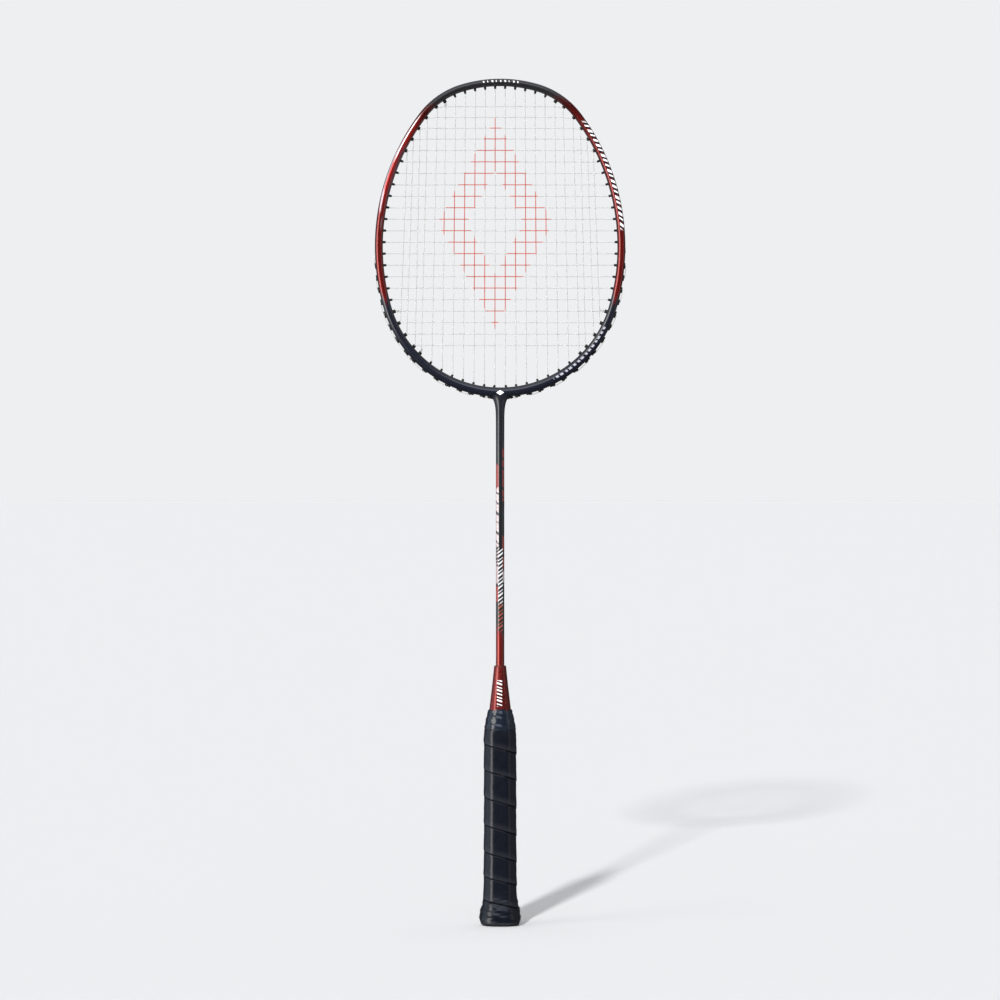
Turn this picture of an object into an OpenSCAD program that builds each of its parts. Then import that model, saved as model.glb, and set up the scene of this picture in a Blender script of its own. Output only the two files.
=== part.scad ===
// Badminton racket standing on its butt, +Z from the butt to the head, the strings in the XZ plane.
// The origin is the middle of the butt's flat end. All sizes are in millimetres.

/* [Overall] */
// Height from the butt's end to the top of the head
overall_len = 675; // [670:1:680]

/* [Head frame] */
// Radius of the hoop's centreline at the top
top_r = 106; // [104:1:108]
// Radius of the hoop's centreline at the shoulders
shoulder_r = 62; // [61:1:63]
// Radius of the hoop's centreline at the sides
side_r = 174; // [168:6:180]
// Width of the hoop's tube seen from the front
tube_w = 6; // [5.8:0.1:6.4]
// Depth of the hoop's tube along the hitting direction
tube_d = 10.4; // [10:0.1:11]
// Wall of the hoop's tube
tube_wall = 0.9; // [0.7:0.1:1]
// Width of the string groove round the upper half of the hoop
groove_w = 4.2; // [4.1:0.05:4.2]
// Depth of the string groove
groove_d = 1.5; // [1.4:0.05:1.6]

/* [Strings] */
// Diameter of the string
string_d = 0.7; // [0.62:0.02:0.74]
// Spacing of the main strings at the top
main_pitch = 7.9; // [7.8:0.05:8]
// Spacing of the main strings at the throat
throat_pitch = 8.4; // [8.3:0.05:8.5]
// Spacing of the cross strings
cross_pitch = 9.15; // [9.1:0.05:9.2]
// Spacing of the last few cross strings, towards the top
top_cross_pitch = 8.6; // [8.5:0.05:8.7]
// Depth of the highest cross string below the top of the head
top_cross_drop = 22.2; // [21.8:0.2:22.6]

/* [Shaft] */
// Outer diameter of the shaft
shaft_d = 6.7; // [6.4:0.1:7]
// Bore of the shaft
shaft_bore = 4.1; // [3.9:0.1:4.3]
// Height of the shaft's lower end, inside the handle
shaft_foot_z = 95; // [85:1:105]

/* [Handle] */
// Width of the gripped handle, parallel to the strings
grip_w = 25.8; // [25:0.2:26.6]
// Thickness of the gripped handle
grip_d = 23.6; // [23:0.2:24.4]
// Thickness of the grip tape
grip_t = 1.8; // [1.6:0.1:1.9]
// Height of the wooden core's shoulder, where the cone sits
shoulder_z = 158; // [156:1:160]
// Height of the cone's top
cone_top_z = 207; // [204:1:210]
// Diameter of the cone's top
cone_top_d = 9.3; // [9:0.1:10]
// Width of the butt's flare over the grip
butt_w = 33.2; // [32.6:0.2:33.8]

/* [Hidden] */
$fn = 64;
slack = 0.02;
half_w = tube_w / 2;
string_r = string_d / 2;

// The hoop's centreline is a chain of tangent arcs, told by the outward direction [x, z] where one arc
// hands over to the next. The directions are 7-24-25 and 3-4-5 triangles, so arcs meet on exact planes.
turn_dirs = [[0.28, 0.96], [0.8, 0.6], [0.96, -0.28]];
low_r = (turn_dirs[0].x * (top_r - shoulder_r) + turn_dirs[1].x * (shoulder_r - side_r)
    + turn_dirs[2].x * side_r) / turn_dirs[2].x;
arc_r = [top_r, shoulder_r, side_r, low_r];
top_c = [0, overall_len - half_w - top_r];
shoulder_c = top_c + turn_dirs[0] * (top_r - shoulder_r);
side_c = shoulder_c + turn_dirs[1] * (shoulder_r - side_r);
low_c = side_c + turn_dirs[2] * (side_r - low_r);
arc_c = [top_c, shoulder_c, side_c, low_c];
turn_t = [for (d = turn_dirs) atan2(d.x, d.y)];
groove_end_t = 90;
hoop_bottom_z = low_c.y - low_r - half_w;

// A point of the right half of the hoop, at normal angle t from +Z and at off outside the centreline
function arc_at(t) = t < turn_t[0] ? 0 : t < turn_t[1] ? 1 : t < turn_t[2] ? 2 : 3;
function hoop_point(t, off) = arc_c[arc_at(t)] + (arc_r[arc_at(t)] + off) * [sin(t), cos(t)];

// String holes. A grommet's nose stands out of the hoop's inner wall, and the string leaves it at its tip.
nose = 2.2;
tip_off = -half_w - nose;
flange_t = 0.5;
narrow_bore = 1.05;
narrow_hole = 2.15;
narrow_flange = 3.2;
wide_bore = 1.85;
wide_hole = 2.95;
wide_flange = 4;
fit_gap = 0.05;
slant_lift = 0.65;
slant_run = 3.2;

last_main = 10;
last_cross = 21;
first_shared_main = 6;
tie_main_low = 7;
tie_cross = 3;
close_crosses = 3;
top_cross_z = overall_len - top_cross_drop;
function cross_z(k) = k > last_cross - close_crosses
    ? top_cross_z - (last_cross - k) * top_cross_pitch
    : top_cross_z - close_crosses * top_cross_pitch - (last_cross - close_crosses - k) * cross_pitch;
function top_main_x(i) = (i + 0.5) * main_pitch;
function low_main_x(i) = (i + 0.5) * throat_pitch;

// The normal angle between lo and hi where the grommet tips' coordinate axis has the value
function hole_t(axis, value, lo, hi, tries = 40) =
    let (mid = (lo + hi) / 2, now = hoop_point(mid, tip_off)[axis], rises = axis == 0 && hi <= 90)
    tries == 0 ? mid
    : (rises ? now < value : now > value) ? hole_t(axis, value, mid, hi, tries - 1)
    : hole_t(axis, value, lo, mid, tries - 1);

// A hole is [tip point, axis angle, distance from tip to flange seat, wide, normal angle]
function seat_off(t) = t < groove_end_t ? half_w - groove_d : half_w;
function plain_hole(t, wide) = [hoop_point(t, tip_off), t, seat_off(t) - tip_off + slack, wide, t];
function slanted_hole(t) =
    let (tip = hoop_point(t, tip_off), drop = tube_w + nose)
    [tip, 180 - atan2(slant_run, drop), norm([slant_run, drop]) + slant_lift, false, t];

top_mains = [for (i = [0 : first_shared_main - 1])
    plain_hole(hole_t(0, top_main_x(i), 0, 90), i == first_shared_main - 1)];
top_corners = [for (i = [first_shared_main : last_main])
    plain_hole(hole_t(1, cross_z(last_cross + first_shared_main - i), 0, 90), true)];
side_crosses = [for (k = [tie_cross : last_cross - 5])
    plain_hole(hole_t(1, cross_z(k), 0, 180), k == tie_cross)];
low_corners = [for (k = [0 : tie_cross - 1]) plain_hole(hole_t(1, cross_z(k), 90, 180), true)];
low_mains = [for (i = [0 : tie_main_low])
    i == 0 ? slanted_hole(hole_t(0, low_main_x(i), 90, 180))
    : plain_hole(hole_t(0, low_main_x(i), 90, 180), i == tie_main_low)];
all_holes = concat(top_mains, top_corners, side_crosses, low_corners, low_mains);

function main_top_hole(i) = i < first_shared_main ? top_mains[i] : top_corners[i - first_shared_main];
function main_low_hole(i) = i <= tie_main_low ? low_mains[i] : low_corners[i - tie_main_low - 1];
function cross_hole(k) = k < tie_cross ? low_corners[k]
    : k <= last_cross - 5 ? side_crosses[k - tie_cross] : top_corners[last_cross - k];

// Handle levels
bevel_share = 0.245;
core_w = grip_w - 2 * grip_t;
core_d = grip_d - 2 * grip_t;
core_foot_z = 3;
tenon_top_z = shoulder_z + 20;
tenon_d = 13;
core_hollow_d = 11;
core_hollow_top_z = shaft_foot_z - 15;
cap_top_z = 30;
grip_top_z = 172;
tape_low_z = 161;
tape_t = 0.25;
badge_d = 16.6;
badge_t = 0.5;
badge_recess = 0.3;
staple_z = 24.5;
staple_wire = 0.6;
staple_crown = 8;
staple_leg = 5.5;

// The T joint between hoop and shaft
neck_d = 8.5;
neck_foot_z = hoop_bottom_z - 34;
neck_fillet_r = 5;
shaft_top_z = hoop_bottom_z - 4;
spigot_foot_z = neck_foot_z - 6;
wing_t = 8;

// ---------- frame and shaft ----------

module stadium(w, d) {
    square([w, d - w], center = true);
    for (s = [-1, 1]) translate([0, s * (d - w) / 2]) circle(d = w);
}

module tube_section(grooved) {
    difference() {
        stadium(tube_w, tube_d);
        if (grooved) translate([half_w - groove_d, -groove_w / 2]) square([tube_w, groove_w]);
        difference() {
            stadium(tube_w - 2 * tube_wall, tube_d - 2 * tube_wall);
            if (grooved) translate([half_w - groove_d - tube_wall, -groove_w / 2 - tube_wall])
                square([tube_w, groove_w + 2 * tube_wall]);
        }
    }
}

// One arc of the hoop about centre c, kept between outward directions a and b by a wedge. The wedge's
// outer edge goes round by way of the direction through.
module hoop_arc(c, r, a, b, through, grooved) {
    reach = 200;
    from_angle = atan2(b.y, b.x);
    span = (atan2(a.y, a.x) - from_angle + 360) % 360;
    over = 4;
    rotate([90, 0, 0]) intersection() {
        translate([c.x, c.y, 0])
            rotate_extrude(angle = span + 2 * over, start = from_angle - over)
                translate([r, 0]) tube_section(grooved);
        linear_extrude(3 * tube_d, center = true)
            polygon([c, c + reach * a, c + 2 * reach * through, c + reach * b]);
    }
}

module hoop_halves() {
    for (side = [0, 1]) mirror([side, 0, 0]) {
        hoop_arc(shoulder_c, shoulder_r, turn_dirs[0], turn_dirs[1], [0.6, 0.8], true);
        hoop_arc(side_c, side_r, turn_dirs[1], [1, 0], [0.96, 0.28], true);
        hoop_arc(side_c, side_r, [1, 0], turn_dirs[2], [1, -0.1], false);
    }
}

module along_hole(hole) {
    translate([hole[0].x, 0, hole[0].y]) rotate([0, hole[1], 0]) children();
}

module both_sides(holes) {
    for (side = [0, 1], hole = holes) mirror([side, 0, 0]) along_hole(hole) let ($hole = hole) children();
}

module hole_drill() {
    translate([0, 0, nose / 2]) cylinder(d = $hole[3] ? wide_hole : narrow_hole, h = $hole[2] + 2);
}

module head_frame() {
    color([0.08, 0.08, 0.1]) difference() {
        union() {
            hoop_arc(top_c, top_r, [-turn_dirs[0].x, turn_dirs[0].y], turn_dirs[0], [0, 1], true);
            hoop_arc(low_c, low_r, turn_dirs[2], [-turn_dirs[2].x, turn_dirs[2].y], [0, -1], false);
            hoop_halves();
        }
        both_sides(all_holes) hole_drill();
        translate([0, 0, hoop_bottom_z - 4]) cylinder(d = shaft_bore, h = 4 + half_w);
    }
}

// A torus sector centred on the bottom of the hoop, with the given section
module low_sector(w, d, half_angle) {
    translate([0, 0, low_c.y]) rotate([90, 0, 0])
        rotate_extrude(angle = 2 * half_angle, start = 270 - half_angle)
            translate([low_r, 0]) stadium(w, d);
}

module t_joint_insert() {
    clearance = 0.1;
    inner_w = tube_w - 2 * tube_wall - clearance;
    inner_d = tube_d - 2 * tube_wall - clearance;
    color("silver") difference() {
        union() {
            low_sector(inner_w, inner_d, wing_t);
            translate([0, 0, spigot_foot_z])
                cylinder(d = shaft_bore - clearance, h = hoop_bottom_z + half_w - spigot_foot_z);
        }
        both_sides([low_mains[0], low_mains[1]]) hole_drill();
    }
}

module throat_joint() {
    $fn = 240;
    fillet_z = hoop_bottom_z - neck_fillet_r;
    rim_r = neck_d / 2 + neck_fillet_r;
    color([0.1, 0.1, 0.13]) difference() {
        intersection() {
            rotate_extrude() difference() {
                union() {
                    polygon([[0, neck_foot_z], [shaft_d / 2 + 0.15, neck_foot_z],
                        [neck_d / 2, fillet_z], [0, fillet_z]]);
                    translate([0, fillet_z]) square([rim_r, neck_fillet_r + half_w]);
                }
                translate([rim_r, fillet_z]) circle(r = neck_fillet_r);
            }
            translate([-2 * rim_r, -tube_d / 2, neck_foot_z - 1])
                cube([4 * rim_r, tube_d, hoop_bottom_z - neck_foot_z + tube_w]);
        }
        low_sector(tube_w + 0.02, tube_d + 0.02, 2 * wing_t);
        translate([0, 0, neck_foot_z - 1]) cylinder(d = shaft_d + 0.04, h = shaft_top_z - neck_foot_z + 1);
        translate([0, 0, neck_foot_z]) cylinder(d = shaft_bore, h = hoop_bottom_z - neck_foot_z + half_w);
        both_sides([low_mains[0]]) hole_drill();
        both_sides([low_mains[0]]) translate([0, 0, $hole[2] - 1])
            cylinder(d = narrow_flange + 0.4, h = neck_fillet_r + 2);
        for (side = [0, 1]) mirror([side, 0, 0])
            translate([6, -0.1, hoop_bottom_z - 3]) cube([rim_r, 1, 4]);
    }
}

module shaft() {
    color([0.12, 0.12, 0.14]) difference() {
        translate([0, 0, shaft_foot_z]) cylinder(d = shaft_d, h = shaft_top_z - shaft_foot_z);
        translate([0, 0, shaft_foot_z - 1]) cylinder(d = shaft_bore, h = shaft_top_z - shaft_foot_z + 2);
    }
}

// ---------- handle ----------

function unit(v) = v / norm(v);

// A corner of an outline, rounded off over the length r of both edges
function round_corner(before, at, after, r) =
    let (a = at + unit(before - at) * r, b = at + unit(after - at) * r)
    [a, (a + 2 * at + b) / 4, b];

// A rounded octagon w wide and d deep, with bevels at 45 degrees
function octagon(w, d, r) =
    let (
        b = bevel_share * w,
        c = [[w / 2, d / 2 - b], [w / 2 - b, d / 2]],
        all = concat(
            c, [[-c[1].x, c[1].y], [-c[0].x, c[0].y]],
            [-c[0], -c[1]], [[c[1].x, -c[1].y], [c[0].x, -c[0].y]]
        )
    )
    [for (i = [0 : 7]) each round_corner(all[(i + 7) % 8], all[i], all[(i + 1) % 8], r)];

// Octagons at stations [z, w, d, rounding], joined into one closed solid
module octagon_loft(stations) {
    n = 24;
    last = len(stations) - 1;
    polyhedron(
        points = [for (s = stations) each [for (p = octagon(s[1], s[2], s[3])) [p.x, p.y, s[0]]]],
        faces = concat(
            [[for (i = [0 : n - 1]) i]],
            [for (j = [0 : last - 1], i = [0 : n - 1]) each [
                [j * n + i, (j + 1) * n + i, (j + 1) * n + (i + 1) % n],
                [j * n + i, (j + 1) * n + (i + 1) % n, j * n + (i + 1) % n]
            ]],
            [[for (i = [n - 1 : -1 : 0]) last * n + i]]
        )
    );
}

// The outside of the butt cap, of the grip tape on it and of the cone, each a list of stations
depth_less = grip_w - grip_d;
function depth_less_at(z) = depth_less * min(1, (cone_top_z - z) / (cone_top_z - shoulder_z));
function size_at(z, w, r) = [z, w, w - depth_less_at(z), r];
under_flare_w = butt_w - 2 * grip_t;
cap_stations = [
    size_at(0, under_flare_w - 3, 1), size_at(1.5, under_flare_w - 1, 1), size_at(5, under_flare_w, 1),
    size_at(11, under_flare_w - 0.6, 1), size_at(20, core_w + 2.2, 0.9), size_at(cap_top_z, core_w + 0.8, 0.8),
];
grip_stations = [
    size_at(0.6, butt_w - 2.6, 2), size_at(2, butt_w - 0.8, 2), size_at(5, butt_w, 2),
    size_at(11, butt_w - 0.6, 2), size_at(15, butt_w - 3, 2), size_at(20, grip_w + 2, 2),
    size_at(cap_top_z, grip_w + 0.5, 2), size_at(60, grip_w, 2), size_at(148, grip_w, 2),
    size_at(shoulder_z - 1, grip_w - 0.9, 2), size_at(tape_low_z, grip_w - 2.1, 2),
];
tape_stations = [
    size_at(tape_low_z, grip_w - 2.1, 2), size_at(166, grip_w - 3.6, 2), size_at(170, grip_w - 5.3, 2),
    size_at(grip_top_z, grip_w - 6.3, 2),
];
function grown(stations, by) = [for (s = stations) [s[0], s[1] + by, s[2] + by, s[3]]];
function cone_w(z) = core_w + (cone_top_d - core_w) * (z - shoulder_z) / (cone_top_z - shoulder_z);
function cone_station(z, grow) =
    [z, cone_w(z) + grow, cone_w(z) - depth_less_at(z) + grow,
        0.8 + 0.6 * (z - shoulder_z) / (cone_top_z - shoulder_z)];

module cone() {
    color([0.55, 0.08, 0.07]) difference() {
        octagon_loft([cone_station(shoulder_z + slack, 0), cone_station(cone_top_z, 0)]);
        translate([0, 0, shoulder_z]) tenon(0.2);
        translate([0, 0, shoulder_z]) cylinder(d = shaft_d + 0.1, h = cone_top_z - shoulder_z + 1);
    }
}

module tenon(clearance) {
    cylinder(d = tenon_d + clearance, h = tenon_top_z - shoulder_z + clearance);
}

module handle_core_half(side) {
    color("burlywood") difference() {
        union() {
            translate([0, 0, core_foot_z + slack]) linear_extrude(shoulder_z - core_foot_z - slack)
                polygon([for (p = octagon(core_w, core_d, 0.5)) p]);
            translate([0, 0, shoulder_z]) tenon(0);
        }
        translate([0, 0, shaft_foot_z]) cylinder(d = shaft_d + 0.06, h = tenon_top_z - shaft_foot_z + 1);
        cylinder(d = core_hollow_d, h = core_hollow_top_z);
        staple_legs(0.02);
        translate([-core_w, side > 0 ? -2 * core_d : 0, 0]) cube([2 * core_w, 2 * core_d, tenon_top_z + 1]);
    }
}

module handle_core_front() handle_core_half(-1);
module handle_core_back() handle_core_half(1);

module butt_cap() {
    color([0.05, 0.05, 0.06]) difference() {
        octagon_loft(cap_stations);
        translate([0, 0, core_foot_z]) linear_extrude(cap_top_z)
            polygon([for (p = octagon(core_w + 0.1, core_d + 0.1, 0.5)) p]);
        translate([0, 0, -1]) cylinder(d = badge_d + 0.2, h = 1 + badge_recess + badge_t + 0.05);
        staple_legs(0.02);
        staple_crowns(0.02);
        staple_slots();
    }
}

module butt_badge() {
    color("silver") translate([0, 0, badge_recess]) cylinder(d = badge_d, h = badge_t);
}

// Two wire staples pin the cap to the core from the left and the right
staple_x = core_w / 2 + 0.4;
module staple_legs(extra) {
    for (side = [-1, 1], y = [-1, 1])
        translate([side * staple_x, y * staple_crown / 2, staple_z]) rotate([0, -90 * side, 0])
            cylinder(d = staple_wire + extra, h = staple_leg);
}

module staple_crowns(extra) {
    for (side = [-1, 1])
        translate([side * staple_x, 0, staple_z]) rotate([90, 0, 0])
            cylinder(d = staple_wire + extra, h = staple_crown + staple_wire + extra, center = true);
}

// The slots that the staples' crowns press into the cap, open to the outside
module staple_slots() {
    long = staple_crown + staple_wire + 0.02;
    high = staple_wire + 0.02;
    for (side = [0, 1]) mirror([side, 0, 0])
        translate([staple_x, -long / 2, staple_z - high / 2]) cube([2, long, high]);
}

module butt_staples() {
    color("silver") {
        staple_legs(0);
        staple_crowns(0);
    }
}

module grip_wrap() {
    inner = concat(
        grown(cap_stations, 0.1),
        [size_at(cap_top_z + 0.2, core_w + 0.1, 0.6), size_at(shoulder_z, core_w + 0.1, 0.6)],
        [cone_station(grip_top_z + 1, 0.1)]
    );
    ends = [for (s = tape_stations) [s[0], s[1] - 2 * tape_t, s[2] - 2 * tape_t, s[3]]];
    color([0.09, 0.1, 0.14]) difference() {
        octagon_loft(concat(grip_stations, [for (s = ends) [s[0] + slack, s[1], s[2], s[3]]]));
        octagon_loft(inner);
    }
}

module grip_finishing_tape() {
    color([0.12, 0.14, 0.19]) difference() {
        octagon_loft([for (s = tape_stations) [s[0] + 2 * slack, s[1], s[2], s[3]]]);
        octagon_loft([for (s = tape_stations)
            [s[0] + (s[0] == grip_top_z ? 1 : s[0] == tape_low_z ? 0 : slack), s[1] - 2 * tape_t + 0.04,
                s[2] - 2 * tape_t + 0.04, s[3]]]);
    }
}

// ---------- grommets ----------

module grommet() {
    bore = ($hole[3] ? wide_bore : narrow_bore) / 2;
    barrel = ($hole[3] ? wide_hole : narrow_hole) / 2 - fit_gap / 2;
    flange = ($hole[3] ? wide_flange : narrow_flange) / 2;
    seat = $hole[2];
    rotate_extrude() polygon([
        [bore, 0], [barrel - 0.25, 0], [barrel - 0.05, 0.3], [barrel, nose - 0.3], [barrel, seat],
        [flange, seat], [flange, seat + flange_t / 2], [flange - 0.3, seat + flange_t], [bore, seat + flange_t]
    ]);
}

module grommets(holes) {
    color([0.03, 0.03, 0.03]) both_sides(holes) grommet();
}

tie_off_holes = [top_mains[first_shared_main - 1], side_crosses[0], low_mains[tie_main_low]];
module top_main_grommets() grommets([for (i = [0 : first_shared_main - 2]) top_mains[i]]);
module top_corner_grommets() grommets(top_corners);
module side_cross_grommets() grommets([for (k = [1 : len(side_crosses) - 1]) side_crosses[k]]);
module low_corner_grommets() grommets(low_corners);
module throat_main_grommets() grommets([for (i = [0 : tie_main_low - 1]) low_mains[i]]);
module tie_off_grommets() grommets(tie_off_holes);

// ---------- strings ----------

// Where a string runs outside the hoop, on the flanges
function run_off(t) = seat_off(t) + flange_t + string_r + 3 * slack;
function to_3d(p, side, y) = [side * p.x, y, p.y];
function hole_dir(hole) = [sin(hole[1]), cos(hole[1])];

// How far a string keeps to one side of a hole: two strings share a wide one
function lane(hole, y) = hole[3] ? y : 0;
lane_y = 0.38;
run_y = 0.42;

// Through a hole from the outside in, the run having come from the direction of normal angle from_t
function into_hole(hole, side, y, from_t) =
    let (
        out = hole[0] + hole_dir(hole) * (hole[2] + flange_t + string_r + 2 * slack),
        back = from_t > hole[4] ? 1 : -1,
        along = back * [cos(hole[1]), -sin(hole[1])]
    )
    [
        to_3d(out + along * 1.7, side, sign(y) * run_y),
        to_3d(out, side, lane(hole, y)), to_3d(hole[0], side, lane(hole, y))
    ];
function reversed(list) = [for (i = [len(list) - 1 : -1 : 0]) list[i]];

// The middle of a run between two holes on one side of the hoop
function run_middle(a, b, side, y) =
    let (crosses_step = (a[4] - groove_end_t) * (b[4] - groove_end_t) < 0,
        t = crosses_step ? groove_end_t : (a[4] + b[4]) / 2)
    to_3d(hoop_point(t, crosses_step ? run_off(t) : run_off(t) - 0.05), side, sign(y) * run_y);

function run_between(a, b, side, y) = concat(
    reversed(into_hole(a, side, y, b[4])), [run_middle(a, b, side, y)], into_hole(b, side, y, a[4])
);

// One half of the main string, from the top middle outwards: up and down through the main holes
function main_half(side) = [
    for (i = [0 : last_main]) each
        let (next = i < last_main ? (i % 2 == 0 ? main_low_hole(i + 1) : main_top_hole(i + 1)) : side_crosses[0])
        run_between(i % 2 == 0 ? main_low_hole(i) : main_top_hole(i), next, side, lane_y)
];
top_middle = to_3d(hoop_point(0, run_off(0)), 0, run_y);
function main_start(side) = concat([top_middle], into_hole(main_top_hole(0), side, lane_y, 0 - 1));
main_path = concat(
    reversed(main_half(-1)), reversed(main_start(-1)), [for (i = [1 : 3]) main_start(1)[i]], main_half(1)
);

// Cross string k is woven over and under the main strings, which lean a little outwards towards the throat
// [x, y] of main string i at height z
function main_at(i, z) =
    let (a = main_low_hole(i), b = main_top_hole(i), share = (z - a[0].y) / (b[0].y - a[0].y))
    [a[0].x, lane(a, lane_y)] * (1 - share) + [b[0].x, lane(b, lane_y)] * share;
weave_y = string_d + 2 * slack;
function reaches(i, z) = z > main_low_hole(i)[0].y + 1 && z < main_top_hole(i)[0].y - 1;
function weave(k, dir) =
    let (z = cross_z(k))
    [for (n = [-last_main - 1 : last_main])
        let (m = dir * (n + 0.5), i = abs(m) - 0.5)
        if (reaches(i, z))
            [sign(m) * main_at(i, z).x, main_at(i, z).y + ((m + 0.5 + k) % 2 == 0 ? 1 : -1) * weave_y, z]];

// The cross string starts at the lower left and climbs, turning on the right and the left by turns
function cross_dir(k) = k % 2 == 0 ? 1 : -1;
cross_path = concat(
    into_hole_tail(low_mains[tie_main_low], cross_hole(0), -1),
    [for (k = [0 : last_cross]) each concat(
        weave(k, cross_dir(k)),
        k < last_cross ? run_between(cross_hole(k), cross_hole(k + 1), cross_dir(k), -lane_y) : []
    )],
    reversed(into_hole_tail(top_mains[first_shared_main - 1], cross_hole(last_cross), -1))
);
function into_hole_tail(tie, hole, side) = run_between(tie, hole, side, -lane_y);

function tangent(path, i) =
    let (a = path[max(i - 1, 0)], p = path[i], b = path[min(i + 1, len(path) - 1)])
    i == 0 ? unit(b - p) : i == len(path) - 1 ? unit(p - a) : unit(unit(b - p) + unit(p - a));
function ring(p, dir, r, n) =
    let (s = unit(cross(dir, [0, 1, 0])), u = cross(s, dir))
    [for (j = [0 : n - 1]) p + r * (cos(360 * j / n) * s + sin(360 * j / n) * u)];

// A tube of n flat sides swept along a path
module sweep(path, r, n) {
    last = len(path) - 1;
    polyhedron(
        points = [for (i = [0 : last]) each ring(path[i], tangent(path, i), r, n)],
        faces = concat(
            [[for (j = [n - 1 : -1 : 0]) j]],
            [for (i = [0 : last - 1], j = [0 : n - 1]) each [
                [i * n + j, i * n + (j + 1) % n, (i + 1) * n + (j + 1) % n],
                [i * n + j, (i + 1) * n + (j + 1) % n, (i + 1) * n + j]
            ]],
            [[for (j = [0 : n - 1]) last * n + j]]
        )
    );
}

module main_string() color([0.93, 0.94, 0.92]) sweep(main_path, string_r, 6);
module cross_string() color([0.93, 0.94, 0.92]) sweep(cross_path, string_r, 6);

// A knot is a pair of hitches round the string that it ties to, and the cut tail beside them
module knot() {
    for (turn = [0, 1]) translate([0, 0, turn * 0.8 * string_d])
        rotate_extrude() translate([knot_r, 0]) circle(d = string_d, $fn = 24);
    translate([knot_r + 0.6 * string_d, 0, -string_r]) cylinder(d = string_d, h = 1.6, $fn = 24);
}
knot_r = string_d + 0.25;
knot_gap = 1.2;

// A knot round the string that runs from the point p to the point q
module knot_round(p, q) {
    u = unit(q - p);
    translate(p + knot_gap * u) rotate([0, acos(u.z), atan2(u.y, u.x)]) knot();
}

module main_string_knots() {
    row = weave(tie_cross, 1);
    color([0.93, 0.94, 0.92]) for (side = [-1, 1])
        knot_round(to_3d(cross_hole(tie_cross)[0], side, -lane_y), side < 0 ? row[0] : row[len(row) - 1]);
}

module cross_string_knots() {
    low = tie_main_low;
    top = first_shared_main - 1;
    color([0.93, 0.94, 0.92]) {
        knot_round(to_3d(main_low_hole(low)[0], -1, lane_y), to_3d(main_top_hole(low)[0], -1, 0));
        knot_round(to_3d(main_top_hole(top)[0], -1, lane_y), to_3d(main_low_hole(top)[0], -1, 0));
    }
}

head_frame();
t_joint_insert();
throat_joint();
shaft();
cone();
handle_core_front();
handle_core_back();
butt_cap();
butt_badge();
butt_staples();
grip_wrap();
grip_finishing_tape();
top_main_grommets();
top_corner_grommets();
side_cross_grommets();
low_corner_grommets();
throat_main_grommets();
tie_off_grommets();
main_string();
cross_string();
main_string_knots();
cross_string_knots();
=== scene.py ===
# A badminton racket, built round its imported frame. Everything is in metres, +Z from the butt to the head,
# with the strings in the XZ plane and the front facing -Y.
from functools import reduce
from math import atan2, cos, degrees, hypot, pi, radians, sin

import bpy
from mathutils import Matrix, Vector


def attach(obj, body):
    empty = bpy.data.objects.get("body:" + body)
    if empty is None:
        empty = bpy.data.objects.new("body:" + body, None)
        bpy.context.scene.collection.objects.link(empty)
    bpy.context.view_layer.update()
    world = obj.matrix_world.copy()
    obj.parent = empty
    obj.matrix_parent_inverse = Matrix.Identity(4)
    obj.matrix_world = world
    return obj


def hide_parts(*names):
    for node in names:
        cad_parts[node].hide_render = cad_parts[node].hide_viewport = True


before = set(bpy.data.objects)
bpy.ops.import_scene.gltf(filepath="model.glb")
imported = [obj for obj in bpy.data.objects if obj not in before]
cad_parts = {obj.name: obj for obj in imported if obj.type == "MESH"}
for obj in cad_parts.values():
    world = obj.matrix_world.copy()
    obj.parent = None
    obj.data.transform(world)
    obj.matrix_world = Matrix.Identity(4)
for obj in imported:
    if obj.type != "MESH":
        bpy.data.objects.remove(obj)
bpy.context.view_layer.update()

MM = 0.001


# ---------------------------------------------------------------- modelling helpers

def deselect_all():
    if bpy.context.object and bpy.context.object.mode != "OBJECT":
        bpy.ops.object.mode_set(mode="OBJECT")
    bpy.ops.object.select_all(action="DESELECT")


def activate(piece):
    deselect_all()
    piece.select_set(True)
    bpy.context.view_layer.objects.active = piece
    return piece


def named(name):
    piece = bpy.context.object
    piece.name = name
    piece.data.name = name
    return piece


def add_object(name, data):
    item = bpy.data.objects.new(name, data)
    bpy.context.collection.objects.link(item)
    return item


def apply_transform(piece):
    activate(piece)
    bpy.ops.object.transform_apply(location=True, rotation=True, scale=True)


def apply_modifiers(piece):
    activate(piece)
    for modifier in list(piece.modifiers):
        bpy.ops.object.modifier_apply(modifier=modifier.name)


def join(pieces, name):
    activate(pieces[0])
    for piece in pieces[1:]:
        piece.select_set(True)
    if len(pieces) > 1:
        bpy.ops.object.join()
    return named(name)


def smooth(piece, angle=35):
    activate(piece)
    bpy.ops.object.shade_smooth_by_angle(angle=radians(angle))


def edit_all():
    bpy.ops.object.mode_set(mode="EDIT")
    bpy.ops.mesh.select_all(action="SELECT")


def merge_and_face_out(piece, distance=1e-6):
    activate(piece)
    edit_all()
    bpy.ops.mesh.remove_doubles(threshold=distance)
    bpy.ops.mesh.normals_make_consistent(inside=False)
    bpy.ops.object.mode_set(mode="OBJECT")


def mount(piece, material, slot, *nodes):
    piece.data.materials.clear()
    piece.data.materials.append(material)
    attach(piece, "root")
    if nodes:
        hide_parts(*nodes)


def add_attribute(piece, name, values):
    layer = piece.data.attributes.new(name, "FLOAT", "POINT")
    layer.data.foreach_set("value", values)


# ---------------------------------------------------------------- the hoop's line

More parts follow.
